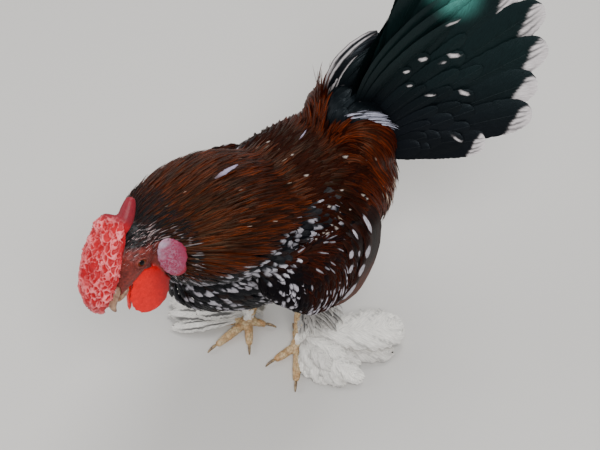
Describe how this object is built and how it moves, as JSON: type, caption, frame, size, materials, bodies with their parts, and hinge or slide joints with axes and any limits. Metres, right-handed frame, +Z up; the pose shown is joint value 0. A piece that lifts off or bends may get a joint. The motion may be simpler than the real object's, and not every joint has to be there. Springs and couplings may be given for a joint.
{
  "type": "chicken",
  "caption": "Standing cock with a rose comb, wattles, feathered shanks, low-carried wings and an open fan tail, neck stretched forward and head lowered.",
  "frame": {"origin": "middle of the whole model's bounding box, at floor level", "axes": "+Z up; the cock faces -X, so its left side is towards -Y"},
  "size_m": [0.4714, 0.2316, 0.3992],
  "materials": {
    "comb_red": "bare, moist-looking red skin with pale ridges",
    "lobe_mauve": "bare mauve-red skin with a white, enamelled top",
    "face_red": "bare wrinkled skin",
    "eye_brown": "dark brown iris and black pupil under a wet cornea",
    "horn": "horn",
    "scale_yellow": "yellow-tan scaled skin",
    "black_green_feather": "black feathers with a green sheen and white tips",
    "white_feather": "soft white feathers with black flecks",
    "mahogany_feather": "mahogany and orange-brown feathers, dark inside, with small white spots"
  },
  "bodies": {
    "root": {"boot_left": "white_feather", "boot_right": "white_feather", "claw_left_hind": "horn", "claw_left_inner": "horn", "claw_left_middle": "horn", "claw_left_outer": "horn", "claw_right_hind": "horn", "claw_right_inner": "horn", "claw_right_middle": "horn", "claw_right_outer": "horn", "comb": "comb_red", "ear_lobe_left": "lobe_mauve", "ear_lobe_right": "lobe_mauve", "eye_left": "eye_brown", "eye_right": "eye_brown", "foot_left": "scale_yellow", "foot_right": "scale_yellow", "head": "face_red", "lower_beak": "horn", "neck": "mahogany_feather", "shank_left": "scale_yellow", "shank_right": "scale_yellow", "sickle_left": "black_green_feather", "sickle_right": "black_green_feather", "spur_left": "horn", "spur_right": "horn", "tail_coverts": "black_green_feather", "tail_left": "black_green_feather", "tail_right": "black_green_feather", "thigh_left": "white_feather", "thigh_right": "white_feather", "toe_fan_left": "white_feather", "toe_fan_right": "white_feather", "trunk": "mahogany_feather", "upper_beak": "horn", "wattle_left": "comb_red", "wattle_right": "comb_red", "wing_flights_left": "mahogany_feather", "wing_flights_right": "mahogany_feather", "wing_left": "mahogany_feather", "wing_right": "mahogany_feather"}
  },
  "joints": []
}
